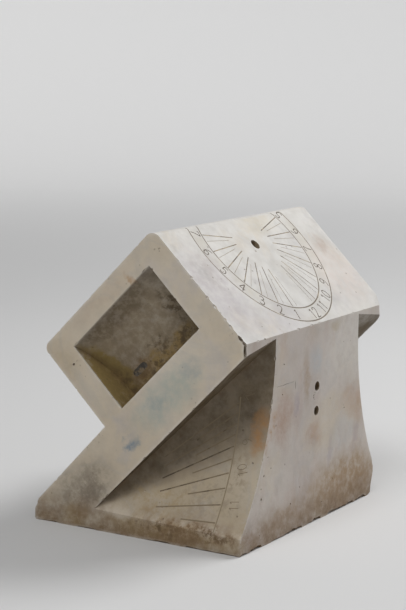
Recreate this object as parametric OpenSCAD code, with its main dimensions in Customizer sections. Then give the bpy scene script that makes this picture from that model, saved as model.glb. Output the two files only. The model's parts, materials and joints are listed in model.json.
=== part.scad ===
/* [Stone] */
// Width of the stone, from its east side to its west side
stone_w = 300; // [260:1:340]
// Latitude that the dial was cut for, which is the slope of its polar edges in degrees
latitude = 46; // [42:0.5:50]
// Height of the plinth under the leg and the flanks
plinth_h = 17; // [12:0.5:24]
// Distance from the back of the plinth to the foot of the polar edges
edge_foot_back = 71; // [64:1:80]
// Height of the foot of the polar edges
edge_foot_h = 21.5; // [18:0.5:28]

/* [Tilted block] */
// Distance from the foot of the polar edges to the lower face of the block
block_from = 68; // [60:1:76]
// Length of the block along the polar axis
block_len = 178; // [165:1:195]
// Height of the block, square to the polar axis
block_h = 152; // [142:1:165]
// Thickness of the leg under the block, square to the polar axis
leg_t = 50.5; // [44:0.5:58]
// Part of the sloping dial's front that the upright front face cuts away
front_cut = 8.2; // [5:0.1:12]

/* [Worn edges] */
// Radius of the top edge, between the sloping dial and the back face
top_edge_r = 11; // [6:0.5:16]
// Radius of the edge between the back face and the lower face
back_edge_r = 8; // [4:0.5:12]
// Cut along the two faces that meet at the top of the plinth's back
heel_cut = 6; // [3:0.5:9]
// Radius of the upright corner between the front and the west side
front_corner_r = 12; // [6:0.5:16]
// Radius of the polar edge between the back face and the west side
back_corner_r = 9; // [5:0.5:14]

/* [Flanks] */
// Width of the front between the two flanks, at its narrowest
waist_w = 180; // [160:1:200]
// Height of the dial's front lip where the flanks are deepest
lip_t = 3; // [2:0.5:5]
// Run from the polar edge's foot to the start of the hour lines
flank_hour_from = 66; // [50:1:80]
// Run from the polar edge's foot to the start of the half-hour lines
flank_half_from = 96; // [85:1:110]
// Run from the polar edge's foot to the chapter curve at the end of the lines
flank_chapter = 134.5; // [125:0.5:145]
// Angle by which the flank lines are set towards noon, in degrees
noon_turn = 3.3; // [0:0.1:5]

/* [Hollows] */
// Thickness of the walls at the two ends of a hollow
hollow_end_t = 28; // [22:1:34]
// Thickness of the wall above a hollow
hollow_top_t = 22; // [18:1:28]
// Height of a hollow's lower lip over the polar edge
hollow_lip = 51; // [46:1:58]
// Depth of a hollow at its lower lip
hollow_depth = 36; // [26:1:44]
// Length of the lead in a hollow's floor
slot_len = 19; // [14:1:26]
// Width of the lead in a hollow's floor
slot_w = 7; // [5:0.5:10]
// Depth of the lead in a hollow's floor
slot_depth = 10; // [6:1:14]
// Distance from a hollow's lower end to the middle of its lead
slot_from = 24; // [18:1:60]
// Angle around the floor's arc from a hollow's lower lip to its lead
slot_turn = 13; // [8:1:20]

/* [Sloping dial] */
// Diameter of the socket for the rod
rod_d = 11.5; // [8:0.5:16]
// Distance from the dial's top edge to the middle of the rod
rod_back = 40; // [34:1:50]
// Clear depth of the rod's socket
rod_depth = 34; // [24:1:42]
// Radius of the outer chapter ring
ring_out_r = 100; // [92:1:106]
// Radius of the inner chapter ring
ring_in_r = 83; // [70:1:88]
// Distance from the rod to the start of the hour lines
dial_line_from = 33; // [24:1:45]
// Angle by which the evening lines are set towards noon, in degrees
evening_turn = 3.3; // [0:0.1:5]

/* [Sockets and lines] */
// Diameter of the gnomon sockets in the front and in the back face
pin_d = 10; // [7:0.5:13]
// Clear depth of those sockets
pin_depth = 30; // [20:1:36]
// Height of the upper front socket
front_pin_h = 140; // [120:1:160]
// Distance between the two front sockets
front_pin_pitch = 25; // [18:1:40]
// Distance between the two sockets of the back face
back_pin_pitch = 60; // [40:1:70]
// Diameter of the lead key below a socket's floor
key_d = 8; // [5:0.5:9.5]
// Height of the lead key below a socket's floor
key_h = 6; // [4:1:14]
// Width of an engraved line
line_w = 1.2; // [0.8:0.1:2]
// Depth of an engraved line
line_depth = 1.2; // [0.8:0.1:2]
// Height of the lost style that the back face's hour lines were drawn for
back_style_h = 62; // [40:1:70]
// Margin at the two ends of the back face's hour lines
back_line_margin = 24; // [18:1:40]

/* [Hidden] */
$fn = 96;
// Facets on a full circle of the flanks' arc
flank_fn = 240;
// Facets on a full circle of the flanks' chapter curves
curve_fn = 720;
// How far a cutter reaches past the face that it cuts
over = 2;
// Radius of a worn edge's arc, over that of a round that runs smoothly into both faces
edge_bow = 1.02;
hour_angle = 15;
morning_hours = [5 : 11];
evening_hours = [1 : 7];
flank_hours = [1 : 5];
back_hours = [1 : 4];
sides = ["east", "west"];

half_w = stone_w / 2;
dial_p = block_from + block_len;
// Run of the polar edges, seen from above, from their foot to the front face
edge_run = dial_p * cos(latitude) - front_cut * sin(latitude);
stone_d = edge_foot_back + edge_run;
y_back = stone_d / 2;
y_front = -stone_d / 2;
y_foot = y_front + edge_run;
edge_rise = edge_run * tan(latitude);
// Height of the dial's front edge
lip_z = edge_foot_h + dial_p * sin(latitude) + front_cut * cos(latitude);

// A place (y, z) in the side view, p along the polar edge and q square to it
function side_place(p, q) = [
    y_foot - p * cos(latitude) + q * sin(latitude),
    edge_foot_h + p * sin(latitude) + q * cos(latitude)
];

stone_h = side_place(dial_p, block_h).y;
// Top of the plinth's back, and the way from there up the back of the leg
heel = [y_back, plinth_h];
leg_way = side_place(block_from, leg_t) - heel;

// Flank arc in the front plane, u inwards from the side and w up from the edge's foot
flank_d = half_w - waist_w / 2;
flank_drop = edge_rise - (plinth_h - edge_foot_h);
flank_r = (flank_drop * flank_drop + flank_d * flank_d) / (2 * flank_d);
flank_u = flank_d - flank_r;
ceiling_rise = lip_z - lip_t - edge_foot_h - edge_rise;

// Depth below the polar edge's end at which an hour plane meets the flank arc
function trace_drop(turn) =
    let (t = tan(turn) * cos(latitude), c = -flank_u)
    (sqrt(t * t * c * c + (t * t + 1) * (flank_r * flank_r - c * c)) - t * c) / (t * t + 1);
// A point of the west flank on an hour plane, at a given run from the edge's foot
function flank_point(turn, run) =
    let (m = trace_drop(turn), k = run / edge_run, u = m * tan(turn) * cos(latitude))
    [half_w - k * u, y_foot - run, edge_foot_h + k * (edge_rise - m)];

// Hollow floor, an arc that is deepest at the lower lip and runs out at the upper edge
hollow_q = block_h - hollow_top_t;
hollow_rise = hollow_q - hollow_lip;
hollow_r = (hollow_rise * hollow_rise + hollow_depth * hollow_depth) / (2 * hollow_depth);
hollow_len = block_len - 2 * hollow_end_t;

rod_q = block_h - rod_back;
back_p = block_from + block_len / 2;

// Frame with x across, y square to the polar axis and z along it, from the edge's foot
module polar_frame() {
    translate([0, y_foot, edge_foot_h]) rotate([90 - latitude, 0, 0]) children();
}

// What is drawn on the west side, or its mirror image on the east side
module on_side(side) {
    mirror([side == "east" ? 1 : 0, 0, 0]) children();
}

// Sloping dial's frame, with its origin on the rod's axis at the dial
module dial_frame() {
    polar_frame() translate([0, rod_q, dial_p]) children();
}

// Back face's frame, with x across, y down along the polar axis and z out of the stone
module back_frame() {
    polar_frame() translate([0, block_h, back_p]) rotate([-90, 0, 0]) children();
}

// Front face's frame, with x across, y up and z out of the stone
module front_frame() {
    translate([0, y_front, 0]) rotate([90, 0, 0]) children();
}

// Section of what is worn off an edge, with an arc that meets both faces at a slight angle
module worn_section(r) {
    difference() {
        translate([-r, -r]) square(r + over);
        translate([-r, -r]) circle(edge_bow * r);
    }
}

// Cutter that wears the edge along x between two faces that meet at the origin
module edge_cutter(r) {
    rotate([0, 90, 0]) linear_extrude(height = stone_w + 2 * over, center = true) worn_section(r);
}

// Rounding of the top edge, which also ends the chapter rings
module top_edge_cutter() {
    polar_frame() translate([0, block_h, dial_p]) rotate([90, 0, 0]) edge_cutter(top_edge_r);
}

// Side view of the stone
module side_outline() {
    polygon([
        [y_back, 0],
        [y_front, 0],
        [y_front, lip_z],
        side_place(dial_p, block_h),
        side_place(block_from, block_h),
        side_place(block_from, leg_t),
        heel + heel_cut * leg_way / norm(leg_way),
        heel - [0, heel_cut]
    ]);
}

// Stone of a hollow's length, cut by the floor's cylinder
module hollow_cutter() {
    polar_frame() translate([half_w, hollow_lip, block_from + hollow_end_t])
        intersection() {
            translate([-hollow_depth - over, 0, 0]) cube([hollow_depth + 2 * over, hollow_rise, hollow_len]);
            translate([hollow_r - hollow_depth, 0, 0]) cylinder(r = hollow_r, h = hollow_len);
        }
}

// Flank's section in the front plane
module flank_outline() {
    intersection() {
        translate([flank_u, edge_rise]) circle(flank_r, $fn = flank_fn);
        polygon([
            [-flank_d, edge_rise - ceiling_rise],
            [flank_d, edge_rise + ceiling_rise],
            [flank_d + over, edge_rise + ceiling_rise],
            [flank_d + over, -stone_d],
            [-flank_d, -stone_d]
        ]);
    }
}

// Cone with its point at the polar edge's foot
module flank_cutter() {
    reach = (edge_run + over) / edge_run;
    translate([half_w, y_front - over, edge_foot_h]) rotate([90, 0, 180])
        linear_extrude(height = edge_run + over, scale = 0) scale(reach) flank_outline();
}

// Cutter that wears a corner of the west side, over a given length
module corner_cutter(r, length) {
    linear_extrude(height = length) worn_section(r);
}

// Stone before its sockets and lines
module carved_stone() {
    difference() {
        rotate([90, 0, 90]) linear_extrude(height = stone_w, center = true) side_outline();
        top_edge_cutter();
        polar_frame() translate([0, block_h, block_from]) edge_cutter(back_edge_r);
        translate([half_w, y_front, 0]) mirror([0, 1, 0]) corner_cutter(front_corner_r, stone_h);
        polar_frame() translate([half_w, block_h, 0]) corner_cutter(back_corner_r, dial_p + over);
        for (side = sides) on_side(side) {
            hollow_cutter();
            flank_cutter();
        }
    }
}

// Lead key below the floor of a socket that runs down the z axis of a face's frame
module socket_key(depth) {
    translate([0, 0, -depth - key_h]) cylinder(d = key_d, h = key_h);
}

// Socket with the hole of its lead key
module socket(d, depth) {
    translate([0, 0, -depth]) cylinder(d = d, h = depth + over);
    translate([0, 0, -depth - key_h]) cylinder(d = key_d, h = key_h + over);
}

// Ring around the rod, rounded off with the top edge
module chapter_ring(r, above = 0) {
    difference() {
        dial_frame() translate([0, 0, -line_depth]) rotate_extrude()
            translate([r - line_w / 2, 0]) square([line_w, line_depth + above]);
        polar_frame() translate([-half_w, block_h, 0]) cube([stone_w, ring_out_r, 2 * dial_p]);
        if (above == 0) top_edge_cutter();
    }
}

// Angle of an hour line of the sloping dial from noon, after noon and before it
function evening_turned(h) = h * hour_angle - evening_turn;
function morning_turned(h) = (12 - h) * hour_angle;

// Hour line that grazes the rod's shadow, on the evening side at a given angle from noon
module dial_line(turn, above = 0) {
    line_to = sqrt(pow(ring_in_r - line_w, 2) - pow(rod_d / 2 + line_w, 2));
    dial_frame() rotate([0, 0, -turn]) translate([-rod_d / 2 - line_w, -line_to, -line_depth])
        cube([line_w, line_to - dial_line_from, line_depth + above]);
}

// Bar along an hour line of the west flank, half of it sunk in the stone
module flank_bar(turn, from) {
    start = flank_point(turn, from);
    way = flank_point(turn, flank_chapter - line_w) - start;
    translate(start) rotate([0, acos(way.z / norm(way)), atan2(way.y, way.x)])
        translate([-line_w / 2, -line_depth, 0]) cube([line_w, 2 * line_depth, norm(way)]);
}

// Ring along the chapter curve of the west flank
module chapter_bar() {
    k = flank_chapter / edge_run;
    first = -asin(trace_drop(hour_turn(0.25)) / flank_r);
    last = -asin(trace_drop(hour_turn(5.25)) / flank_r);
    translate([half_w - k * flank_u, y_foot - flank_chapter, edge_foot_h + k * edge_rise])
        rotate([90, 0, 180]) rotate([0, 0, first]) rotate_extrude(angle = last - first, $fn = curve_fn)
            translate([k * flank_r - line_depth, -line_w / 2]) square([2 * line_depth, line_w]);
}

// Angle of an hour plane from the upright side, counted in hours from noon
function hour_turn(hours) = hours * hour_angle - noon_turn;

// Slot in a hollow's floor, square to the floor and along the polar axis
module floor_slot() {
    polar_frame()
        translate([half_w + hollow_r - hollow_depth, hollow_lip, block_from + hollow_end_t + slot_from])
            rotate([0, 0, 180 - slot_turn]) translate([hollow_r + slot_depth, 0, 0]) rotate([0, -90, 0])
                linear_extrude(height = slot_depth + over) union() {
                    square([slot_len - slot_w, slot_w], center = true);
                    for (end = [-1, 1]) translate([end * (slot_len - slot_w) / 2, 0]) circle(d = slot_w);
                }
}

// Hour line of the back face, on the west side at a given hour from noon
module back_line(hours, above = 0) {
    line_len = block_len - 2 * back_line_margin;
    back_frame() translate([back_style_h * tan(hours * hour_angle) - line_w / 2, -line_len / 2, -line_depth])
        cube([line_w, line_len, line_depth + above]);
}

module marble_block() {
    color([0.82, 0.79, 0.74]) difference() {
        carved_stone();
        chapter_ring(ring_out_r, over);
        chapter_ring(ring_in_r, over);
        for (h = evening_hours) dial_line(evening_turned(h), over);
        for (h = morning_hours) on_side("east") dial_line(morning_turned(h), over);
        dial_frame() socket(rod_d, rod_depth);
        for (drop = [0, 1]) front_frame()
            translate([0, front_pin_h - drop * front_pin_pitch, 0]) socket(pin_d, pin_depth);
        for (end = [-1, 1]) back_frame()
            translate([0, end * back_pin_pitch / 2, 0]) socket(pin_d, pin_depth);
        for (side = sides) on_side(side) {
            floor_slot();
            chapter_bar();
            for (h = flank_hours) flank_bar(hour_turn(h), flank_hour_from);
            for (h = flank_hours) flank_bar(hour_turn(h - 0.5), flank_half_from);
            for (h = back_hours) back_line(h, over);
        }
    }
}

module mastic() {
    color([0.24, 0.19, 0.14]) children();
}

module lead() {
    color([0.36, 0.36, 0.38]) children();
}

module outer_chapter_ring() {
    mastic() chapter_ring(ring_out_r);
}

module inner_chapter_ring() {
    mastic() chapter_ring(ring_in_r);
}

module dial_evening_line(h) {
    mastic() dial_line(evening_turned(h));
}

module dial_morning_line(h) {
    mastic() on_side("east") dial_line(morning_turned(h));
}

module dial_rod_lead() {
    lead() dial_frame() socket_key(rod_depth);
}

module front_upper_lead() {
    lead() front_frame() translate([0, front_pin_h, 0]) socket_key(pin_depth);
}

module front_lower_lead() {
    lead() front_frame() translate([0, front_pin_h - front_pin_pitch, 0]) socket_key(pin_depth);
}

module hollow_lead(side) {
    lead() on_side(side) difference() {
        floor_slot();
        hollow_cutter();
    }
}

module chapter_curve(side) {
    mastic() on_side(side) difference() {
        chapter_bar();
        flank_cutter();
    }
}

module flank_hour_line(side, h) {
    mastic() on_side(side) difference() {
        flank_bar(hour_turn(h), flank_hour_from);
        flank_cutter();
    }
}

module flank_half_hour_line(side, h) {
    mastic() on_side(side) difference() {
        flank_bar(hour_turn(h - 0.5), flank_half_from);
        flank_cutter();
    }
}

module back_hour_line(side, h) {
    mastic() on_side(side) back_line(h);
}

module back_upper_lead() {
    lead() back_frame() translate([0, -back_pin_pitch / 2, 0]) socket_key(pin_depth);
}

module back_lower_lead() {
    lead() back_frame() translate([0, back_pin_pitch / 2, 0]) socket_key(pin_depth);
}

marble_block();
outer_chapter_ring();
inner_chapter_ring();
for (h = morning_hours)
    dial_morning_line(h);
for (h = evening_hours)
    dial_evening_line(h);
dial_rod_lead();
front_upper_lead();
front_lower_lead();
for (side = sides)
    hollow_lead(side);
for (side = sides)
    chapter_curve(side);
for (side = sides, h = flank_hours)
    flank_hour_line(side, h);
for (side = sides, h = flank_hours)
    flank_half_hour_line(side, h);
for (side = sides, h = back_hours)
    back_hour_line(side, h);
back_upper_lead();
back_lower_lead();
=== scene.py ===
import json
import math
import random

import bmesh
import bpy
from mathutils import Matrix, Vector
from mathutils.bvhtree import BVHTree


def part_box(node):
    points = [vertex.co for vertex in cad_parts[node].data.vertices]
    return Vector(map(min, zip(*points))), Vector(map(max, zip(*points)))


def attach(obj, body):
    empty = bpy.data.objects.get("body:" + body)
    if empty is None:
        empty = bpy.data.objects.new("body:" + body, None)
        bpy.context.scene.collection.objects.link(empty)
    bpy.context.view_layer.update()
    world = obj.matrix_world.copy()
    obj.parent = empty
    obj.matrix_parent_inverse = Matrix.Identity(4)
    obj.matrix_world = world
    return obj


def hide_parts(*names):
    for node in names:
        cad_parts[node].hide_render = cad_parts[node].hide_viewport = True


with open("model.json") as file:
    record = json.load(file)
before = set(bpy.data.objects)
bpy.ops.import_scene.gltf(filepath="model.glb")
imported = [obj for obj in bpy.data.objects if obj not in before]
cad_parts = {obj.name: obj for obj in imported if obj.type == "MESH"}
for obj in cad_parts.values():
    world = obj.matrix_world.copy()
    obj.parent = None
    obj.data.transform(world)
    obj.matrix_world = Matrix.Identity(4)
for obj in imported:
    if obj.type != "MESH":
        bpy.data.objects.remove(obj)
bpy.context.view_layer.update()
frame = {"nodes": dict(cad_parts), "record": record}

# Carved stone
# One block of white marble, sawn and chiselled to a plinth, a leg, a tilted block, two conical flanks and
# two hollows. Weather and handling have worn its arrises round, chipped them and pitted its faces. It has
# gone beige, with soil in its lower edges and hollows and stains of rust, wax and old paint. Its flanks,
# hollows, sockets, inner corners and downward faces are also painted darker as shade.
MM = 0.001
merge_within = 0.01 * MM
cut_within = 0.001 * MM
mounts = {mount["name"]: mount for mount in frame["record"]["mounts"]}
polar_way = Vector(mounts["dial_rod_socket"]["axis"])
back_way = Vector(mounts["back_upper_socket"]["axis"])
across_way = Vector((1, 0, 0))
inward_way = Vector((0, 1, 0))
up_way = Vector((0, 0, 1))
rod_place = Vector(mounts["dial_rod_socket"]["pos_m"])
rod_along = 246
rod_over = 112
edge_foot = rod_place - rod_along * MM * polar_way - rod_over * MM * back_way
stone_low, stone_high = (Vector(corner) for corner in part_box("marble_block"))
half_w = stone_high.x
y_front = stone_low.y
lip_z = (rod_place + (y_front - rod_place.y) / back_way.y * back_way).z
dial_east_corner = Vector((-half_w, y_front, lip_z))
dial_west_corner = Vector((half_w, y_front, lip_z))
foot_west_corner = Vector((half_w, y_front, 0))
chips = random.Random(46)
cutters = bmesh.new()


def stone_place(across, inward, height):
    """A place in the stone, in mm from the middle of its foot."""
    return Vector((across, inward, height)) * MM


def side_place(side, along, over, depth=0.0):
    """A place on the east (-1) or west (1) side, in mm along the polar edge, over it and into the stone."""
    place = edge_foot + along * MM * polar_way + over * MM * back_way
    place.x = side * (half_w - depth * MM)
    return place


def front_place(across, height):
    """A place on the upright front, in mm from its middle and from the floor."""
    return Vector((across * MM, y_front, height * MM))


def dial_place(across, over):
    """A place on the sloping dial, in mm from the middle and over the polar edges."""
    return rod_place + across * MM * across_way + (over - rod_over) * MM * back_way


def cut_faces(bm, faces, place, square_to_cut):
    """Divides the faces along a plane and gives back what they have become."""
    geometry = dict.fromkeys(faces)
    for face in faces:
        geometry.update(dict.fromkeys((*face.edges, *face.verts)))
    cut = bmesh.ops.bisect_plane(bm, geom=list(geometry), dist=cut_within, plane_co=place,
                                 plane_no=square_to_cut)
    return [item for item in cut["geom"] if isinstance(item, bmesh.types.BMFace)]


def rub_down(bm, place, reach, inward, depth):
    """Presses the surface in round a place, most at the place itself."""
    way = Vector(inward).normalized()
    for vert in bm.verts:
        off = min((vert.co - place).length / reach, 1)
        vert.co += depth * (1 - off ** 2) ** 2 * way


def bite(place, along, out, length, width, depth):
    """Adds a ragged lump to the cutters, which breaks a flake of a size in mm out of the stone."""
    lump = bmesh.ops.create_icosphere(cutters, subdivisions=2, radius=0.5)["verts"]
    for vert in lump:
        vert.co *= chips.uniform(0.78, 1.15)
    sideways = out.cross(along).normalized()
    turned = Matrix((along, sideways, out)).transposed().to_4x4()
    sized = Matrix.Diagonal((length * MM, width * MM, 2 * depth * MM, 1))
    bmesh.ops.transform(cutters, matrix=Matrix.Translation(place) @ turned @ sized, verts=lump)


def mesh_object(name, bm):
    """Turns a bmesh into an object of the scene."""
    mesh = bpy.data.meshes.new(name)
    bm.to_mesh(mesh)
    bm.free()
    made = bpy.data.objects.new(name, mesh)
    bpy.context.collection.objects.link(made)
    return made


same_plane = math.radians(0.3)
bm = bmesh.new()
bm.from_mesh(frame["nodes"]["marble_block"].data)
bmesh.ops.remove_doubles(bm, verts=bm.verts, dist=merge_within)
stone_tree = BVHTree.FromBMesh(bm)
bmesh.ops.dissolve_limit(bm, angle_limit=same_plane, verts=bm.verts, edges=bm.edges)

# Finer facets on the round floor of each hollow, which a flake would otherwise crease. Its sizes are in mm,
# as side_place takes them.
hollow_lip = 51
hollow_rise = 79
hollow_top = hollow_lip + hollow_rise
hollow_depth = 36
hollow_r = (hollow_rise ** 2 + hollow_depth ** 2) / (2 * hollow_depth)
hollow_turn = math.asin(hollow_rise / hollow_r)
hollow_steps = 36
hollow_within = 0.2 * MM


def from_axis(axis, co):
    """Way from an axis along the polar edge to a point, square to that axis."""
    return co - axis - (co - axis).dot(polar_way) * polar_way


def on_floor(face, axis):
    """True on a face of the hollow's floor that is round about that axis."""
    return all(abs(from_axis(axis, vert.co).length - hollow_r * MM) < hollow_within for vert in face.verts)


for side in (-1, 1):
    axis = side_place(side, 0, hollow_lip, hollow_depth - hollow_r)
    faces = [face for face in bm.faces if on_floor(face, axis)]
    for step in range(1, hollow_steps):
        turn = hollow_turn * step / hollow_steps
        square_to_cut = math.sin(turn) * side * across_way + math.cos(turn) * back_way
        faces = cut_faces(bm, faces, axis, square_to_cut)
    for vert in {vert for face in faces for vert in face.verts}:
        out = from_axis(axis, vert.co)
        vert.co += (hollow_r * MM - out.length) * out.normalized()

# Arrises, marked as seams so that they can be found again once a face is divided
arris_turn = math.radians(32)
dressed_area = 170 * MM * MM


def is_arris(edge):
    """True on an outer edge between two dressed faces, which leaves out sockets and engraved lines."""
    if len(edge.link_faces) != 2 or not edge.is_convex or edge.calc_face_angle() < arris_turn:
        return False
    return min(face.calc_area() for face in edge.link_faces) > dressed_area


for edge in bm.edges:
    edge.seam = is_arris(edge)

# The west foot of the front, rubbed down where the stone was walked from corner to corner
foot_reach = 48 * MM
foot_steps = 12
for step in range(1, foot_steps):
    inside = foot_reach * step / foot_steps
    for square_to_cut in (-across_way, inward_way, up_way):
        cut_faces(bm, bm.faces[:], foot_west_corner + inside * square_to_cut, square_to_cut)
rub_down(bm, foot_west_corner, 26 * MM, (-1, 1, 0.5), 4.5 * MM)
rub_down(bm, foot_west_corner + 24 * MM * up_way, 24 * MM, (-1, 0.5, 0), 1.8 * MM)

# The west corner of the dial over the front, worn round by hands
held_reach = 15 * MM
held_steps = 10
held_rub = 2.3 * MM
faces = list(min(bm.verts, key=lambda vert: (vert.co - dial_west_corner).length).link_faces)
for step in range(held_steps, 0, -1):
    inside = held_reach * step / held_steps
    for square_to_cut in (-across_way, back_way, -up_way):
        faces = cut_faces(bm, faces, dial_west_corner + inside * square_to_cut, square_to_cut)
        if step == held_steps:
            faces = [face for face in faces
                     if (face.calc_center_median() - dial_west_corner).dot(square_to_cut) < inside]
rub_down(bm, dial_west_corner, held_reach, (-1, 0.6, -0.8), held_rub)

# Flakes along the arrises, larger and closer on the bottom edge that the stone was tipped over
ground_within = 1 * MM
arrises = [edge for edge in bm.edges if edge.seam]
for edge in arrises:
    first, last = (vert.co.copy() for vert in edge.verts)
    out = sum((face.normal for face in edge.link_faces), Vector()).normalized()
    on_ground = max(first.z, last.z) < ground_within
    spacing, size, longer = (17 * MM, 1.7, 2.0) if on_ground else (34 * MM, 1.0, 1.0)
    for _ in range(int(edge.calc_length() / spacing + chips.random())):
        place = first.lerp(last, chips.random())
        length = size * longer * chips.uniform(2.0, 7.5)
        depth = size * chips.uniform(0.35, 1.1)
        bite(place, (last - first).normalized(), out, length, chips.uniform(2.2, 3.4) * depth, depth)

# Flakes that the photograph shows one by one, at the east corner and edge of the dial and, as breaks of
# three bites each, along the foot
off_edge = (polar_way - across_way).normalized()
off_corner = -(across_way + inward_way).normalized()
off_foot = -(inward_way + up_way).normalized()
for along in (1, 7):
    bite(dial_east_corner + along * MM * back_way, back_way, off_edge, 9, 3.2, 3.6)
bite(dial_east_corner - 7 * MM * up_way, up_way, off_corner, 17, 3.4, 4)
for along, length in ((22, 6), (31, 4), (47, 7), (58, 4), (83, 5)):
    bite(dial_east_corner + along * MM * back_way, back_way, off_edge, length, 4, 1.6)
for across, length in ((-120, 18), (-42, 28), (8, 14), (55, 34), (84, 12), (108, 20)):
    for share in (-0.36, 0.04, 0.38):
        bite(front_place(across + share * length, 0), across_way, off_foot, 0.62 * length,
             chips.uniform(6, 9), chips.uniform(2, 3.8))

# Scratches and pits that it shows on the front, the east flank and the east side
for across, height, way, length in (
        (-66, 153, across_way, 38), (-47, 149, up_way, 9), (118, 122, up_way, 14)):
    bite(front_place(across, height), way, -inward_way, length, 0.9, 0.45)
for across, height, width in (
        (-111, 47.5, 3.4), (-93, 75, 1.6), (-50, 30, 1.8), (18, 17, 1.7), (63, 107, 1.5)):
    bite(front_place(across, height), across_way, -inward_way, width, width, 1.3)
near_flank = -108
for across, height, width in (
        (-104, 79, 2.2), (-107, 70, 2.6), (-100, 87, 1.7), (-112, 58, 1.6)):
    place, out, _, _ = stone_tree.find_nearest(stone_place(across, near_flank, height))
    bite(place, out.orthogonal().normalized(), out, width, 0.8 * width, 0.5 * width)
bite(side_place(-1, 83.5, 117.3), polar_way, -across_way, 3, 2.6, 2)

# Small pits all over, where grains have fallen out
pit_count = 150
faces = list(bm.faces)
for face in chips.choices(faces, weights=[face.calc_area() for face in faces], k=pit_count):
    place = face.calc_center_median().lerp(chips.choice(face.verts).co, chips.random())
    width = chips.uniform(0.7, 2.0)
    way = face.calc_tangent_edge()
    bite(place, way, face.normal.copy(), chips.uniform(1, 1.8) * width, width, 0.35 * width)

worn_bevel = 1.1 * MM
bmesh.ops.bevel(bm, geom=arrises, offset=worn_bevel, offset_type="OFFSET", affect="EDGES", segments=3,
                profile=0.5, clamp_overlap=True, material=-1)
bmesh.ops.triangulate(bm, faces=bm.faces)
stone = mesh_object("weathered_stone", bm)
stone.data.attributes.remove(stone.data.attributes["custom_normal"])


# The marble's finish, with helpers and node groups that the other finishes use as well
def shader_node(tree, kind, inputs, **settings):
    """Adds a node, with values or links for its inputs."""
    made = tree.nodes.new("ShaderNode" + kind)
    for name, value in settings.items():
        setattr(made, name, value)
    for key, value in inputs.items():
        if isinstance(value, bpy.types.NodeSocket):
            tree.links.new(value, made.inputs[key])
        else:
            made.inputs[key].default_value = value
    return made


def blend(tree, mask, first, second):
    """Colour that goes from the first to the second with the mask."""
    inputs = {0: mask, 6: first, 7: second}
    return shader_node(tree, "Mix", inputs, data_type="RGBA").outputs[2]


def calc(tree, operation, first, second=0.0):
    """Value worked out from two values or links."""
    return shader_node(tree, "Math", {0: first, 1: second}, operation=operation).outputs[0]


def times(tree, product, *factors):
    """Product of values or links."""
    for factor in factors:
        product = calc(tree, "MULTIPLY", product, factor)
    return product


def vector_calc(tree, operation, first, second=(0, 0, 0)):
    """Vector and value worked out from two vectors or links."""
    return shader_node(tree, "VectorMath", {0: first, 1: second}, operation=operation).outputs


def ramp(tree, value, start, end):
    """Mask that rises smoothly from 0 at the start to 1 at the end."""
    inputs = {"Value": value, "From Min": start, "From Max": end}
    return shader_node(tree, "MapRange", inputs, interpolation_type="SMOOTHSTEP").outputs[0]


def noise(tree, place, scale, detail=4.0, roughness=0.6, distortion=0.0):
    """Noise with so many waves to the metre, as a value and a colour."""
    inputs = {"Vector": place, "Scale": scale, "Detail": detail, "Roughness": roughness,
              "Distortion": distortion}
    return shader_node(tree, "TexNoise", inputs).outputs


def cloud(tree, waves, start, end):
    """Mask of patches, from where a noise passes the start to where it passes the end."""
    return ramp(tree, waves["Fac"], start, end)


def new_group(name, inputs, outputs):
    """An empty node group, with its input and output nodes."""
    group = bpy.data.node_groups.new(name, "ShaderNodeTree")
    for title, kind in inputs.items():
        group.interface.new_socket(title, in_out="INPUT", socket_type=kind)
    for title, kind in outputs.items():
        group.interface.new_socket(title, in_out="OUTPUT", socket_type=kind)
    return group, group.nodes.new("NodeGroupInput").outputs, group.nodes.new("NodeGroupOutput").inputs


def use_group(tree, group, **inputs):
    """A group placed in a material, with its own values."""
    return shader_node(tree, "Group", inputs, node_tree=group).outputs


VECTOR = "NodeSocketVector"
VALUE = "NodeSocketFloat"

# Stain: a soft ragged patch round a centre, used for real stains and for patches of painted shade
stain_and_shade_group, given, put_out = new_group(
    "Stain",
    {"Place": VECTOR, "Centre": VECTOR, "Reach": VECTOR, "Turn": VALUE, "Breakup": VALUE, "Strength": VALUE},
    {"Mask": VALUE})
offset = vector_calc(stain_and_shade_group, "SUBTRACT", given["Place"], given["Centre"])["Vector"]
turned = shader_node(stain_and_shade_group, "VectorRotate", {"Vector": offset, "Angle": given["Turn"]},
                     rotation_type="X_AXIS").outputs["Vector"]
shrunk = vector_calc(stain_and_shade_group, "DIVIDE", turned, given["Reach"])["Vector"]
soft = ramp(stain_and_shade_group, vector_calc(stain_and_shade_group, "LENGTH", shrunk)["Value"], 1.15, 0.35)
stain_and_shade_group.links.new(times(stain_and_shade_group, soft, given["Breakup"], given["Strength"]), put_out["Mask"])


def shelter_group(name, inside, start, end):
    """A group whose mask tells how closely stone surrounds a point or, seen from inside, how sharp it is."""
    group, given, put_out = new_group(
        name, {"Breakup": VALUE, "Reach": VALUE, "Strength": VALUE}, {"Mask": VALUE})
    shade = shader_node(group, "AmbientOcclusion", {"Distance": given["Reach"]}, samples=8, inside=inside)
    near = ramp(group, shade.outputs["AO"], start, end)
    group.links.new(times(group, near, given["Breakup"], given["Strength"]), put_out["Mask"])
    return group


# Grooves and inner corners are darkened where stone closes round them: soil and painted shade together.
# Arrises are rubbed clean
crevice_soil_and_shade_group = shelter_group("Crevice soil and shade", False, 0.78, 0.3)
wear_group = shelter_group("Edge wear", True, 0.9, 0.5)

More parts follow.
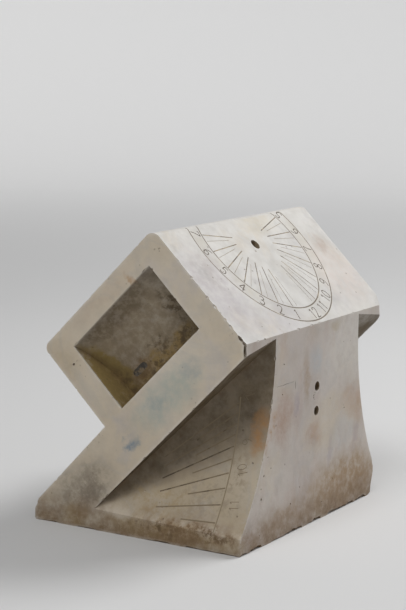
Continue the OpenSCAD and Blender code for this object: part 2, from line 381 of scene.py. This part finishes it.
# Stone grain: large clouds, veins and fine crystals
grain_group, given, put_out = new_group(
    "Stone grain", {"Place": VECTOR},
    {"Cloud": VALUE, "Vein": VALUE, "Mottle": VALUE, "Crystal": VALUE, "Speck": VALUE})
tree = grain_group
place = given["Place"]
bend = calc(tree, "ABSOLUTE", calc(tree, "SUBTRACT", noise(tree, place, 9, 7, 0.55, 1.4)["Fac"], 0.5))
cells = shader_node(tree, "TexVoronoi", {"Vector": place, "Scale": 95.0}).outputs
cell_value = shader_node(tree, "SeparateColor", {0: cells["Color"]}).outputs[0]
tree.links.new(cloud(tree, noise(tree, place, 7, 5), 0.32, 0.68), put_out["Cloud"])
tree.links.new(ramp(tree, bend, 0.05, 0.0), put_out["Vein"])
tree.links.new(cloud(tree, noise(tree, place, 55, 6, 0.65), 0.35, 0.7), put_out["Mottle"])
tree.links.new(noise(tree, place, 650, 2)["Fac"], put_out["Crystal"])
tree.links.new(times(tree, ramp(tree, cells["Distance"], 0.13, 0.06), ramp(tree, cell_value, 0.7, 0.9)),
               put_out["Speck"])

dial_white = (0.62, 0.605, 0.58, 1)
side_beige = (0.62, 0.53, 0.405, 1)
front_mauve = (0.55, 0.49, 0.445, 1)
back_grey = (0.59, 0.535, 0.45, 1)
inset_brown_and_shade = (0.40, 0.315, 0.20, 1)
pale_cloud = (0.74, 0.71, 0.65, 1)
warm_cast = (0.62, 0.52, 0.38, 1)
cool_cast = (0.50, 0.47, 0.49, 1)
vein_grey = (0.42, 0.42, 0.42, 1)
ring_grime = (0.54, 0.50, 0.42, 1)
bled_brown = (0.29, 0.23, 0.15, 1)
dial_mauve = (0.47, 0.43, 0.45, 1)
dial_rose = (0.66, 0.56, 0.50, 1)
dial_cream = (0.62, 0.55, 0.42, 1)
front_tan = (0.36, 0.25, 0.15, 1)
front_blue = (0.44, 0.48, 0.51, 1)
violet = (0.33, 0.28, 0.33, 1)
pink_brown = (0.40, 0.25, 0.18, 1)
yellow_brown = (0.38, 0.26, 0.10, 1)
olive = (0.33, 0.24, 0.09, 1)
rust = (0.42, 0.225, 0.09, 1)
blue_paint = (0.19, 0.255, 0.31, 1)
green_grey = (0.36, 0.43, 0.39, 1)
grey_dirt = (0.25, 0.21, 0.16, 1)
soil_red = (0.235, 0.148, 0.077, 1)
brown_soil_and_shade = (0.20, 0.125, 0.06, 1)
dark_soil_and_shade = (0.11, 0.075, 0.04, 1)
olive_soil_and_shade = (0.115, 0.08, 0.042, 1)
clean_white = (0.80, 0.77, 0.72, 1)

marble = bpy.data.materials.new("weathered_marble")
marble.use_nodes = True
tree = marble.node_tree
place = shader_node(tree, "TexCoord", {}).outputs["Object"]
grain = use_group(tree, grain_group, Place=place)
stray = 34 * MM
wander = noise(tree, place, 38, 5, 0.65)["Color"]
centred = vector_calc(tree, "SUBTRACT", wander, (0.5, 0.5, 0.5))["Vector"]
strayed = vector_calc(tree, "MULTIPLY", centred, (stray, stray, stray))["Vector"]
ragged = vector_calc(tree, "ADD", place, strayed)["Vector"]

# Where a point of the surface lies and which way it faces
normal = shader_node(tree, "NewGeometry", {}).outputs["Normal"]
facing = shader_node(tree, "SeparateXYZ", {0: normal}).outputs
spot = shader_node(tree, "SeparateXYZ", {0: place}).outputs
spread = calc(tree, "ABSOLUTE", spot["X"])
from_rod = vector_calc(tree, "DISTANCE", place, rod_place)["Value"]
from_foot = vector_calc(tree, "SUBTRACT", place, edge_foot)["Vector"]
along_polar = vector_calc(tree, "DOT_PRODUCT", from_foot, polar_way)["Value"]
over_polar = vector_calc(tree, "DOT_PRODUCT", from_foot, back_way)["Value"]
side_mask = ramp(tree, calc(tree, "ABSOLUTE", facing["X"]), 0.35, 0.85)
front_mask = ramp(tree, times(tree, facing["Y"], -1.0), 0.76, 0.94)
back_mask = ramp(tree, facing["Y"], 0.3, 0.6)
dial_mask = ramp(tree, vector_calc(tree, "DOT_PRODUCT", normal, polar_way)["Value"], 0.9, 0.97)
flank_mask = times(tree, ramp(tree, spread, half_w - 0.6 * MM, half_w - 6 * MM), side_mask)
hollow_mask = times(tree, ramp(tree, spread, half_w - 0.2 * MM, half_w - 1.6 * MM),
                    ramp(tree, over_polar, (hollow_top + 3) * MM, (hollow_top + 0.5) * MM))

# Coats of colour from the bottom up, each with its mask: first the bare stone and what hands have left
cast = noise(tree, place, 17, 5, 0.6, 0.6)
streaked = shader_node(tree, "Mapping", {"Vector": ragged, "Scale": (55, 55, 15)}).outputs["Vector"]
streak = cloud(tree, noise(tree, streaked, 1, 5), 0.42, 0.75)
between_rings = times(tree, ramp(tree, from_rod, 80 * MM, 86 * MM), ramp(tree, from_rod, 104 * MM, 98 * MM))
handled = times(tree, between_rings, cloud(tree, noise(tree, place, 48, 5), 0.3, 0.75), dial_mask)
coats = [
    (side_mask, side_beige),
    (front_mask, front_mauve),
    (back_mask, back_grey),
    # The recessed flanks go darker brown: painted shade, with a brown soil tone
    (times(tree, flank_mask, 0.7), inset_brown_and_shade),
    (times(tree, grain["Cloud"], 0.35), pale_cloud),
    (times(tree, cloud(tree, cast, 0.52, 0.72), 0.38), warm_cast),
    (times(tree, cloud(tree, cast, 0.48, 0.28), 0.38), cool_cast),
    (times(tree, grain["Vein"], 0.16), vein_grey),
    (times(tree, grain["Mottle"], 0.14), grey_dirt),
    (times(tree, streak, front_mask, 0.26), pink_brown),
    (times(tree, handled, 0.6), ring_grime),
]
for ring in ("outer_chapter_ring", "inner_chapter_ring"):
    reaches = [(vert.co - rod_place).length for vert in frame["nodes"][ring].data.vertices]
    ring_r = (min(reaches) + max(reaches)) / 2
    aside = calc(tree, "ABSOLUTE", calc(tree, "SUBTRACT", from_rod, ring_r))
    coats.append((times(tree, ramp(tree, aside, 1.3 * MM, 0.4 * MM), dial_mask, 0.7), bled_brown))

# Painted shade with soil on the ceiling of each flank and under it, darkest under the overhang and thinning
# out downwards from line to line. The ceiling mask darkens every face that looks downwards
fall = calc(tree, "DIVIDE", over_polar, along_polar)
flank_shade_and_soil = times(
    tree, ramp(tree, fall, -0.72, -0.08), ramp(tree, fall, 0.2, 0.1),
    ramp(tree, spread, half_w - 0.8 * MM, half_w - 2.5 * MM), ramp(tree, along_polar, 0.0, 20 * MM),
    ramp(tree, facing["Z"], 0.45, 0.25), calc(tree, "SUBTRACT", 1.0, front_mask))
near_edge = calc(tree, "ADD", times(tree, ramp(tree, over_polar, 20 * MM, 5 * MM), 0.35), 0.75)
ceiling_shade_and_soil = times(tree, ramp(tree, facing["Z"], -0.4, -0.62), near_edge)
calm = calc(tree, "ADD", times(tree, grain["Mottle"], 0.28), 0.72)
coats += [(times(tree, flank_shade_and_soil, calm, 0.88), olive_soil_and_shade), (times(tree, ceiling_shade_and_soil, calm), olive_soil_and_shade)]

# Stains, and painted shade at the bottoms of the sockets, each with its centre, its reach in mm, its turn
# about the east-west line, its colour and strength
along_edge = math.radians(-134)
# The bottom of each socket is painted dark: painted shade in the deep hole, with soil
socket_reach = 20
stains_and_socket_shade = [(rod_place - socket_reach * MM * polar_way, (8, 20, 8), along_edge, dark_soil_and_shade, 1.6)]
for socket in ("front_upper_socket", "front_lower_socket"):
    bottom = Vector(mounts[socket]["pos_m"]) + socket_reach * MM * inward_way
    stains_and_socket_shade.append((bottom, (7, 20, 7), 0.0, dark_soil_and_shade, 1.6))
stains_and_socket_shade += [
    (side_place(-1, 80, 19.5), (30, 11, 7), along_edge, blue_paint, 0.8),
    (side_place(-1, 145, 27), (12, 58, 21), along_edge, green_grey, 0.5),
    (side_place(-1, 130, 30), (12, 16, 10), along_edge, blue_paint, 0.22),
    (side_place(-1, 185, 30), (12, 18, 9), along_edge, blue_paint, 0.2),
    (side_place(-1, -2, 22), (14, 56, 34), along_edge, grey_dirt, 0.6),
    (side_place(-1, 12, 14), (14, 20, 9), along_edge, dark_soil_and_shade, 0.4),
    (side_place(-1, 150, 143), (10, 66, 10), along_edge, pink_brown, 0.14),
    (side_place(-1, 62, 128), (10, 40, 26), along_edge, yellow_brown, 0.2),
    (stone_place(-148, -40, 9), (20, 95, 14), 0.0, yellow_brown, 0.7),
    (side_place(-1, -28, 8), (20, 22, 18), along_edge, yellow_brown, 0.6),
    (side_place(-1, 191, 134), (10, 5, 9), along_edge, rust, 0.5),
    (front_place(-70, 120), (30, 20, 30), 0.0, pink_brown, 0.5),
    (front_place(-3, 92), (20, 20, 14), 0.0, pink_brown, 0.5),
    (front_place(82, 114), (36, 20, 20), 0.0, pink_brown, 0.45),
    (front_place(70, 28), (110, 20, 38), 0.0, front_tan, 0.85),
    (front_place(-60, 16), (60, 20, 16), 0.0, front_tan, 0.5),
    (front_place(70, 180), (75, 20, 55), 0.0, pale_cloud, 0.4),
    (front_place(40, 105), (80, 20, 30), 0.0, warm_cast, 0.35),
    (front_place(-24, 150), (9, 20, 34), 0.0, front_tan, 0.5),
    (front_place(-4, 166), (14, 20, 22), 0.0, front_blue, 0.42),
    (front_place(62, 84), (34, 20, 20), 0.0, front_blue, 0.24),
    (front_place(-44, 130), (6, 20, 16), 0.0, violet, 0.4),
    (front_place(32, 67), (7, 20, 18), 0.0, violet, 0.3),
    (front_place(90, 73), (7, 20, 18), 0.0, violet, 0.25),
    (front_place(35, 195), (16, 20, 9), 0.0, olive, 0.35),
]
dial_stains = [
    (dial_place(-122, 70), (46, 60, 70), 0.0, dial_mauve, 0.55),
    (dial_place(-126, 96), (10, 14, 14), 0.0, vein_grey, 0.4),
    (dial_place(-60, 20), (60, 30, 26), 0.0, dial_mauve, 0.35),
    (dial_place(112, 60), (50, 50, 50), 0.0, dial_rose, 0.45),
    (dial_place(34, 140), (44, 22, 22), 0.0, dial_cream, 0.45),
    (dial_place(122, 95), (16, 12, 12), 0.0, pink_brown, 0.26),
]

# Crusts, whose edges are sharper than those of a stain, in the same columns
crusts = [
    (stone_place(-146, -62, 15), (22, 66, 12), 0.0, soil_red, 1.0),
    (stone_place(-146, -20, 14), (22, 30, 7), 0.0, dark_soil_and_shade, 0.9),
    (stone_place(-146, -86, 15), (22, 30, 8), 0.0, dark_soil_and_shade, 0.8),
    (side_place(-1, 6, 16), (14, 36, 16), along_edge, grey_dirt, 0.7),
    (stone_place(-118, -74, 44), (40, 56, 34), 0.0, grey_dirt, 0.34),
    (stone_place(-128, -20, 34), (40, 50, 22), 0.0, yellow_brown, 0.4),
    (stone_place(-112, -96, 60), (24, 16, 44), 0.0, brown_soil_and_shade, 0.35),
]

# Stains, crusts and painted shade that both sides have, the west one less of them
hollow_stains_and_shade = []
hollow_crusts = []
for side, share in ((-1, 1.0), (1, 0.7)):
    stains_and_socket_shade += [
        (stone_place(side * 98, -111, 105), (18, 9, 34), 0.0, rust, 0.8 * share ** 3),
        (stone_place(side * 130, 10, 9), (30, 120, 12), 0.0, brown_soil_and_shade, 0.35 * share),
    ]
    hollow_stains_and_shade += [
        # The first three darken each hollow's floor, most along its upper lip: painted shade, with soil
        (side_place(side, 157, 92, 26), (40, 95, 70), along_edge, inset_brown_and_shade, 0.6 * share),
        (side_place(side, 157, 92, 26), (40, 95, 70), along_edge, olive_soil_and_shade, 0.38 * share),
        (side_place(side, 157, 128, 4), (18, 95, 32), along_edge, olive_soil_and_shade, 0.62 * share),
        (side_place(side, 150, 66, 35), (16, 74, 13), along_edge, yellow_brown, 0.95 * share),
        (side_place(side, 97, 84, 24), (40, 15, 58), along_edge, olive, 1.5 * share),
        (side_place(side, 122, 75, 34), (12, 17, 10), along_edge, brown_soil_and_shade, 0.7 * share),
    ]
    hollow_crusts += [
        (side_place(side, 158, 66, 35), (12, 62, 10), along_edge, dark_soil_and_shade, 0.9 * share),
        (side_place(side, 200, 88, 26), (18, 13, 36), along_edge, dark_soil_and_shade, 0.9 * share),
        (side_place(side, 155, 78, 34), (12, 16, 8), along_edge, dark_soil_and_shade, 0.8 * share),
        (side_place(side, 100, 72, 34), (12, 8, 26), along_edge, dark_soil_and_shade, 0.7 * share),
    ]
patchy = calc(tree, "ADD", times(tree, cloud(tree, noise(tree, place, 120, 6, 0.7), 0.34, 0.62), 0.6), 0.55)
crusted = cloud(tree, noise(tree, place, 150, 6, 0.7), 0.44, 0.62)
for listed, breakup in (
        (stains_and_socket_shade, patchy), (dial_stains, times(tree, patchy, dial_mask)),
        (hollow_stains_and_shade, times(tree, patchy, hollow_mask)),
        (crusts, crusted), (hollow_crusts, times(tree, crusted, hollow_mask))):
    for centre, reach, turn, stain_colour, strength in listed:
        mask = use_group(tree, stain_and_shade_group, Place=ragged, Centre=centre, Reach=Vector(reach) * MM, Turn=turn,
                         Breakup=breakup, Strength=strength)["Mask"]
        coats.append((mask, stain_colour))

# Soil at the foot, grime and painted shade in the corners and cracks, specks, and arrises rubbed clean
loose = cloud(tree, noise(tree, place, 90, 5), 0.3, 0.6)
splashed = calc(tree, "ADD", cloud(tree, noise(tree, place, 42, 8, 0.7), 0.36, 0.64), 0.25)
low = ramp(tree, spot["Z"], 46 * MM, 2 * MM)
# Corners within 75 mm and grooves within 16 mm are darkened by how closely stone surrounds them: painted
# shade, with soil
corner_shade_and_grime = use_group(tree, crevice_soil_and_shade_group, Breakup=patchy, Reach=75 * MM, Strength=0.6)["Mask"]
crevice_soil_and_shade = use_group(tree, crevice_soil_and_shade_group, Breakup=loose, Reach=16 * MM, Strength=0.75)["Mask"]
crack = use_group(tree, stain_and_shade_group, Place=place, Centre=dial_east_corner, Reach=Vector((7, 18, 24)) * MM,
                  Breakup=crevice_soil_and_shade, Strength=2.5)["Mask"]
wear = use_group(tree, wear_group, Breakup=loose, Reach=5 * MM, Strength=0.3)["Mask"]
coats += [
    (times(tree, low, splashed, 0.72), soil_red),
    (corner_shade_and_grime, olive_soil_and_shade),
    (crevice_soil_and_shade, brown_soil_and_shade),
    (crack, dark_soil_and_shade),
    (times(tree, grain["Speck"], 0.55), dark_soil_and_shade),
    (times(tree, wear, calc(tree, "SUBTRACT", 1.0, flank_mask)), clean_white),
]
colour = dial_white
for mask, coat_colour in coats:
    colour = blend(tree, mask, colour, coat_colour)
dull = calc(tree, "ADD", times(tree, crevice_soil_and_shade, 0.3), times(tree, grain["Mottle"], 0.2))
dented = calc(tree, "ADD", grain["Mottle"], times(tree, grain["Speck"], -1.5))
relief = calc(tree, "ADD", times(tree, grain["Crystal"], 0.35), dented)
bump = shader_node(tree, "Bump", {"Strength": 0.35, "Distance": 0.4 * MM, "Height": relief})
shader = tree.nodes["Principled BSDF"]
shader.inputs["Specular IOR Level"].default_value = 0.35
tree.links.new(colour, shader.inputs["Base Color"])
tree.links.new(calc(tree, "ADD", dull, 0.52), shader.inputs["Roughness"])
tree.links.new(bump.outputs["Normal"], shader.inputs["Normal"])
stone.data.materials.append(marble)
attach(stone, "root")
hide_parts("marble_block")

# Numerals, lines and rings
# Hour numerals and half-hour strokes cut by hand with a small chisel, beside the lines and rings of the
# dials. A dark mastic of wax and pitch was pressed hot into all of them and scraped flush. It has dried
# brown, and has worn pale and dusty where hands and water reached it.
STROKES = {
    "0": [[(0.3, 1), (0.08, 0.72), (0.08, 0.28), (0.3, 0), (0.52, 0.28), (0.52, 0.72), (0.3, 1)]],
    "1": [[(0.14, 0.82), (0.32, 1)], [(0.32, 1), (0.32, 0)]],
    "2": [[(0.06, 0.78), (0.14, 0.96), (0.36, 1), (0.52, 0.82), (0.42, 0.5), (0.05, 0)],
          [(0.05, 0), (0.58, 0.03)]],
    "3": [[(0.06, 0.9), (0.3, 1), (0.5, 0.84), (0.42, 0.62), (0.24, 0.54)],
          [(0.24, 0.54), (0.5, 0.46), (0.54, 0.22), (0.34, 0), (0.04, 0.1)]],
    "4": [[(0.42, 0), (0.42, 1)], [(0.42, 1), (0.02, 0.3)], [(0.02, 0.3), (0.6, 0.3)]],
    "5": [[(0.54, 1), (0.14, 1)], [(0.14, 1), (0.1, 0.56)],
          [(0.1, 0.56), (0.36, 0.62), (0.55, 0.4), (0.48, 0.1), (0.25, 0), (0.04, 0.1)]],
    "6": [[(0.5, 0.98), (0.2, 0.76), (0.06, 0.34), (0.2, 0.03), (0.42, 0.04), (0.54, 0.28), (0.38, 0.5),
           (0.12, 0.4)]],
    "7": [[(0.04, 0.88), (0.06, 1)], [(0.06, 1), (0.56, 1)], [(0.56, 1), (0.32, 0.5), (0.22, 0)]],
    "8": [[(0.3, 0.54), (0.1, 0.74), (0.3, 1), (0.5, 0.74), (0.3, 0.54), (0.06, 0.26), (0.3, 0),
           (0.54, 0.26), (0.3, 0.54)]],
}
digit_w = 0.6
digit_step = 0.66
STROKES["9"] = [[(digit_w - x, 1 - y) for x, y in stroke] for stroke in STROKES["6"]]
cap_within = 0.0001 * MM
groove_depth = 0.1 * MM
fill_depth = 0.22 * MM
fill_flat = 0.35


def stroke_mesh(strokes, radius):
    """Mesh of round strokes, drawn in the flat of x and y."""
    curve = bpy.data.curves.new("strokes", "CURVE")
    curve.dimensions = "3D"
    curve.bevel_depth = radius
    curve.bevel_resolution = 1
    curve.resolution_u = 4
    curve.use_fill_caps = True
    for points in strokes:
        spline = curve.splines.new("BEZIER")
        spline.bezier_points.add(len(points) - 1)
        for knot, point in zip(spline.bezier_points, points):
            knot.co = (*point, 0)
            knot.handle_left_type = knot.handle_right_type = "AUTO"
    drawn = bpy.data.objects.new("strokes", curve)
    mesh = bpy.data.meshes.new_from_object(drawn)
    bpy.data.objects.remove(drawn)
    closed = bmesh.new()
    closed.from_mesh(mesh)
    bmesh.ops.remove_doubles(closed, verts=closed.verts, dist=cap_within)
    closed.to_mesh(mesh)
    closed.free()
    return mesh


def engrave(fill, strokes, radius, place, up, out):
    """Adds strokes, drawn upright round their middle, to the cutters and, sunk and flattened, to a fill."""
    turned = Matrix((up.cross(out), up, out)).transposed().to_4x4()
    groove = stroke_mesh(strokes, radius)
    filled = groove.copy()
    groove.transform(Matrix.Translation(place - groove_depth * out) @ turned)
    flattened = Matrix.Diagonal((1, 1, fill_flat, 1))
    filled.transform(Matrix.Translation(place - fill_depth * out) @ turned @ flattened)
    cutters.from_mesh(groove)
    fill.from_mesh(filled)


def numeral(text, height):
    """Strokes of a number of the given height, round its middle."""
    width = digit_step * (len(text) - 1) + digit_w
    return [[((x + digit_step * n - width / 2) * height, (y - 0.5) * height) for x, y in stroke]
            for n, digit in enumerate(text) for stroke in STROKES[digit]]


def from_noon(degrees):
    """Way on the dial from the rod, at an angle from noon that grows towards the evening."""
    turn = math.radians(degrees)
    return -math.sin(turn) * across_way - math.cos(turn) * back_way


# Numerals between the rings of the sloping dial, and half-hour strokes between its lines
first_hour = 5
noon = 12
last_hour = 19
hour_step = 15
numeral_ring = 92 * MM
numeral_h = 12 * MM
numeral_r = 0.64 * MM
morning_lead = -3.6
evening_lead = 1.6
half_hour_from = 42 * MM
half_hour_to = 80 * MM
half_hour_aside = 6.35 * MM
half_hour_r = 0.3 * MM
half_hour_lead = -1.6
fills = {name: bmesh.new() for name in (
    "dial_numerals", "dial_half_hours", "east_flank_numerals", "west_flank_numerals")}
for hour in range(first_hour, last_hour + 1):
    toward = from_noon((hour - noon) * hour_step + (evening_lead if hour > noon else morning_lead))
    strokes = numeral(str(hour if hour <= noon else hour - noon), numeral_h)
    engrave(fills["dial_numerals"], strokes, numeral_r, rod_place + numeral_ring * toward, -toward, polar_way)
for hour in range(first_hour, last_hour):
    toward = from_noon((hour + 0.5 - noon) * hour_step + half_hour_lead)
    aside = half_hour_aside if hour < noon else -half_hour_aside
    strokes = [[(aside, -half_hour_to), (aside, -half_hour_from)]]
    engrave(fills["dial_half_hours"], strokes, half_hour_r, rod_place, -toward, polar_way)

# Numerals past the end of each hour line of the flanks
flank_hours = {"east": (11, 10, 9, 8, 7), "west": (1, 2, 3, 4, 5)}
past_line = 14 * MM
flank_numeral_h = 9.5 * MM
flank_numeral_r = 0.36 * MM
for side, hours in flank_hours.items():
    for number, hour in enumerate(hours, start=1):
        line = frame["nodes"][f"{side}_hour_line_{number}"].data.vertices
        head = min((vert.co for vert in line), key=lambda co: co.y)
        tail = max((vert.co for vert in line), key=lambda co: co.y)
        way = (head - tail).normalized()
        place, out, _, _ = stone_tree.find_nearest(head + past_line * way)
        up = (-way - out * -way.dot(out)).normalized()
        strokes = numeral(str(hour), flank_numeral_h)
        engrave(fills[f"{side}_flank_numerals"], strokes, flank_numeral_r, place, up, out)

# The stone is cut once, for flakes, pits and numerals together, because a second cut would open its mesh
cutter = mesh_object("stone_cutter", cutters)
cut = stone.modifiers.new("cut", "BOOLEAN")
cut.operation = "DIFFERENCE"
cut.solver = "EXACT"
cut.use_self = True
cut.object = cutter
shown = stone.evaluated_get(bpy.context.evaluated_depsgraph_get())
stone.data = bpy.data.meshes.new_from_object(shown)
stone.modifiers.clear()
bpy.data.objects.remove(cutter)

# Dressed faces stay flat up to their worn edges, and the round of an arris is smooth
dressed_ways = [across_way, polar_way, back_way, up_way, inward_way]
dressed_ways += [-way for way in dressed_ways]
dressed_within = math.cos(math.radians(0.4))
crease = math.radians(34)
bm = bmesh.new()
bm.from_mesh(stone.data)
bmesh.ops.triangulate(bm, faces=bm.faces)
bmesh.ops.dissolve_degenerate(bm, edges=bm.edges, dist=cut_within)
bmesh.ops.triangulate(bm, faces=bm.faces)
for face in bm.faces:
    face.smooth = True
    face.tag = max(face.normal.dot(way) for way in dressed_ways) > dressed_within
for edge in bm.edges:
    tags = {face.tag for face in edge.link_faces}
    edge.smooth = len(tags) == 1 and edge.calc_face_angle(math.pi) < crease
bm.to_mesh(stone.data)
bm.free()

# The mastic's finish, more or less of it dusty
mastic_brown = (0.055, 0.036, 0.02, 1)
mastic_dusty = (0.40, 0.335, 0.245, 1)
# The flanks' dust colours are darker than the dial's: dust with painted shade, since the flanks lie under the
# overhang
flank_dust_and_shade_colour = (0.24, 0.185, 0.115, 1)
curve_dust_and_shade_colour = (0.28, 0.22, 0.14, 1)


def mastic_material(name, worn, dusty=mastic_dusty):
    """Mastic of which the given share has faded to the dusty colour."""
    made = bpy.data.materials.new(name)
    made.use_nodes = True
    tree = made.node_tree
    place = shader_node(tree, "TexCoord", {}).outputs["Object"]
    grain = use_group(tree, grain_group, Place=place)
    faded = cloud(tree, noise(tree, place, 70, 5), 0.75 - 0.5 * worn, 0.95 - 0.5 * worn)
    colour = blend(tree, faded, mastic_brown, dusty)
    colour = blend(tree, times(tree, grain["Crystal"], 0.35), colour, dusty)
    bump = shader_node(tree, "Bump", {"Strength": 0.3, "Distance": 0.2 * MM, "Height": grain["Crystal"]})
    shader = tree.nodes["Principled BSDF"]
    tree.links.new(colour, shader.inputs["Base Color"])
    tree.links.new(calc(tree, "ADD", times(tree, faded, 0.2), 0.62), shader.inputs["Roughness"])
    tree.links.new(bump.outputs["Normal"], shader.inputs["Normal"])
    return made


numeral_mastic = mastic_material("numeral_mastic", 0.2)
scratch_dust = mastic_material("scratch_dust", 1.2)
flank_scratch_dust_and_shade = mastic_material("flank_scratch_dust_and_shade", 1.2, flank_dust_and_shade_colour)
for name, finish in (
        ("dial_numerals", numeral_mastic), ("dial_half_hours", scratch_dust),
        ("east_flank_numerals", flank_scratch_dust_and_shade), ("west_flank_numerals", flank_scratch_dust_and_shade)):
    piece = mesh_object(name, fills[name])
    piece.data.materials.append(finish)
    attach(piece, "root")

dial_mastic = mastic_material("dial_mastic", 0.65)
ring_mastic = mastic_material("ring_mastic", 0.45)
sound_mastic = mastic_material("sound_mastic", 0.68, flank_dust_and_shade_colour)
faded_mastic = mastic_material("faded_mastic", 0.95, flank_dust_and_shade_colour)
curve_dust_and_shade = mastic_material("curve_dust_and_shade", 1.2, curve_dust_and_shade_colour)
sound_lines = [f"{side}_hour_line_{number}" for side in ("east", "west") for number in (2, 3)]
for name, node in frame["nodes"].items():
    if name in sound_lines:
        finish = sound_mastic
    elif name.endswith("_curve"):
        finish = curve_dust_and_shade
    elif name.endswith("_ring"):
        finish = ring_mastic
    elif "_hour_line_" in name:
        finish = faded_mastic
    elif "_line_" in name:
        finish = dial_mastic
    else:
        continue
    node.data.materials.clear()
    node.data.materials.append(finish)

# Lead in the sockets and slots
# Lead run in hot to hold the gnomons, which are lost. It is what is left at the bottom of each socket and
# flush in each hollow's floor, dulled to a dark grey with a pale bloom and a crust of brown lime.
lead_grey = (0.085, 0.077, 0.068, 1)
lead_bloom = (0.21, 0.19, 0.16, 1)
lime_brown = (0.23, 0.175, 0.105, 1)
lead = bpy.data.materials.new("dull_lead")
lead.use_nodes = True
tree = lead.node_tree
place = shader_node(tree, "TexCoord", {}).outputs["Object"]
bloom = cloud(tree, noise(tree, place, 180, 5), 0.42, 0.7)
limed = cloud(tree, noise(tree, place, 130, 5, 0.65), 0.5, 0.58)
dulled = blend(tree, bloom, lead_grey, lead_bloom)
bump = shader_node(tree, "Bump", {"Strength": 0.5, "Distance": 0.5 * MM, "Height": bloom})
shader = tree.nodes["Principled BSDF"]
tree.links.new(blend(tree, limed, dulled, lime_brown), shader.inputs["Base Color"])
tree.links.new(times(tree, calc(tree, "SUBTRACT", 1.0, limed), 0.6), shader.inputs["Metallic"])
tree.links.new(calc(tree, "ADD", times(tree, bloom, 0.25), 0.5), shader.inputs["Roughness"])
tree.links.new(bump.outputs["Normal"], shader.inputs["Normal"])
for name, node in frame["nodes"].items():
    if name.endswith("_lead"):
        node.data.materials.clear()
        node.data.materials.append(lead)

# Studio
# A plain pale floor that curves up into a low wall all round, a large soft lamp from the upper right and a
# weaker one from the left, and a long lens at the height of the sundial's top.
floor_r = 3.2
sweep_r = 1.2
wall_h = 1.0
sweep_steps = 12
round_steps = 64
bm = bmesh.new()
profile = [bm.verts.new((0, 0, 0)), bm.verts.new((floor_r, 0, 0))]
for step in range(1, sweep_steps + 1):
    turn = math.pi / 2 * step / sweep_steps
    profile.append(bm.verts.new((floor_r + sweep_r * math.sin(turn), 0, sweep_r * (1 - math.cos(turn)))))
profile.append(bm.verts.new((floor_r + sweep_r, 0, sweep_r + wall_h)))
edges = [bm.edges.new(pair) for pair in zip(profile, profile[1:])]
bmesh.ops.spin(bm, geom=profile + edges, cent=(0, 0, 0), axis=up_way, angle=2 * math.pi, steps=round_steps,
               use_merge=True)
bmesh.ops.remove_doubles(bm, verts=bm.verts, dist=merge_within)
bmesh.ops.recalc_face_normals(bm, faces=bm.faces)
bmesh.ops.reverse_faces(bm, faces=bm.faces)
floor = mesh_object("floor", bm)
floor.data.shade_smooth()

# The floor glows a little far off, for the lens and for mirror images alone, so it stays a plain pale ground
floor_material = bpy.data.materials.new("pale_floor")
floor_material.use_nodes = True
tree = floor_material.node_tree
place = shader_node(tree, "TexCoord", {}).outputs["Object"]
far_off = ramp(tree, vector_calc(tree, "LENGTH", place)["Value"], 1.2, 4.2)
rays = shader_node(tree, "LightPath", {}).outputs
mirrored = calc(tree, "MAXIMUM", rays["Is Glossy Ray"], rays["Is Transmission Ray"])
looked_at = calc(tree, "MAXIMUM", rays["Is Camera Ray"], mirrored)
shader = tree.nodes["Principled BSDF"]
shader.inputs["Base Color"].default_value = (0.66, 0.66, 0.66, 1)
shader.inputs["Roughness"].default_value = 0.9
shader.inputs["Emission Color"].default_value = (1, 1, 1, 1)
tree.links.new(times(tree, far_off, 0.42, looked_at), shader.inputs["Emission Strength"])
floor.data.materials.append(floor_material)

world = bpy.data.worlds.new("studio")
world.use_nodes = True
sky = world.node_tree.nodes["Background"]
sky.inputs["Color"].default_value = (1, 1, 1, 1)
sky.inputs["Strength"].default_value = 0.26
bpy.context.scene.world = world

middle = Vector((0, 0, 0.15))
for name, stand, size, power in (
        ("key_lamp", (1.5, -0.75, 2.1), 1.1, 42),
        ("fill_lamp", (-1.5, -0.2, 2.4), 1.0, 25)):
    lamp = bpy.data.lights.new(name, "AREA")
    lamp.size = size
    lamp.energy = power
    made = bpy.data.objects.new(name, lamp)
    made.location = stand
    made.rotation_euler = (Vector(stand) - middle).to_track_quat("Z", "Y").to_euler()
    bpy.context.collection.objects.link(made)

aim = Vector((1.105, 16.69, 208.139)) * MM
azimuth, elevation, roll = (math.radians(angle) for angle in (-59.77, 9.278, 1.323))
distance = 1.958
picture_h = 610
focal_pixels = 1905
back = Vector((math.sin(azimuth) * math.cos(elevation), -math.cos(azimuth) * math.cos(elevation),
               math.sin(elevation)))
right = up_way.cross(back).normalized()
above = back.cross(right)
tilted_right = math.cos(roll) * right + math.sin(roll) * above
tilted_up = math.cos(roll) * above - math.sin(roll) * right
turned = Matrix((tilted_right, tilted_up, back)).transposed().to_4x4()
camera_data = bpy.data.cameras.new("camera")
camera_data.sensor_width = 36
camera_data.lens = focal_pixels / picture_h * camera_data.sensor_width
camera = bpy.data.objects.new("camera", camera_data)
camera.matrix_world = Matrix.Translation(aim + distance * back) @ turned
bpy.context.collection.objects.link(camera)
bpy.context.scene.camera = camera
bpy.context.scene.view_settings.view_transform = "Standard"
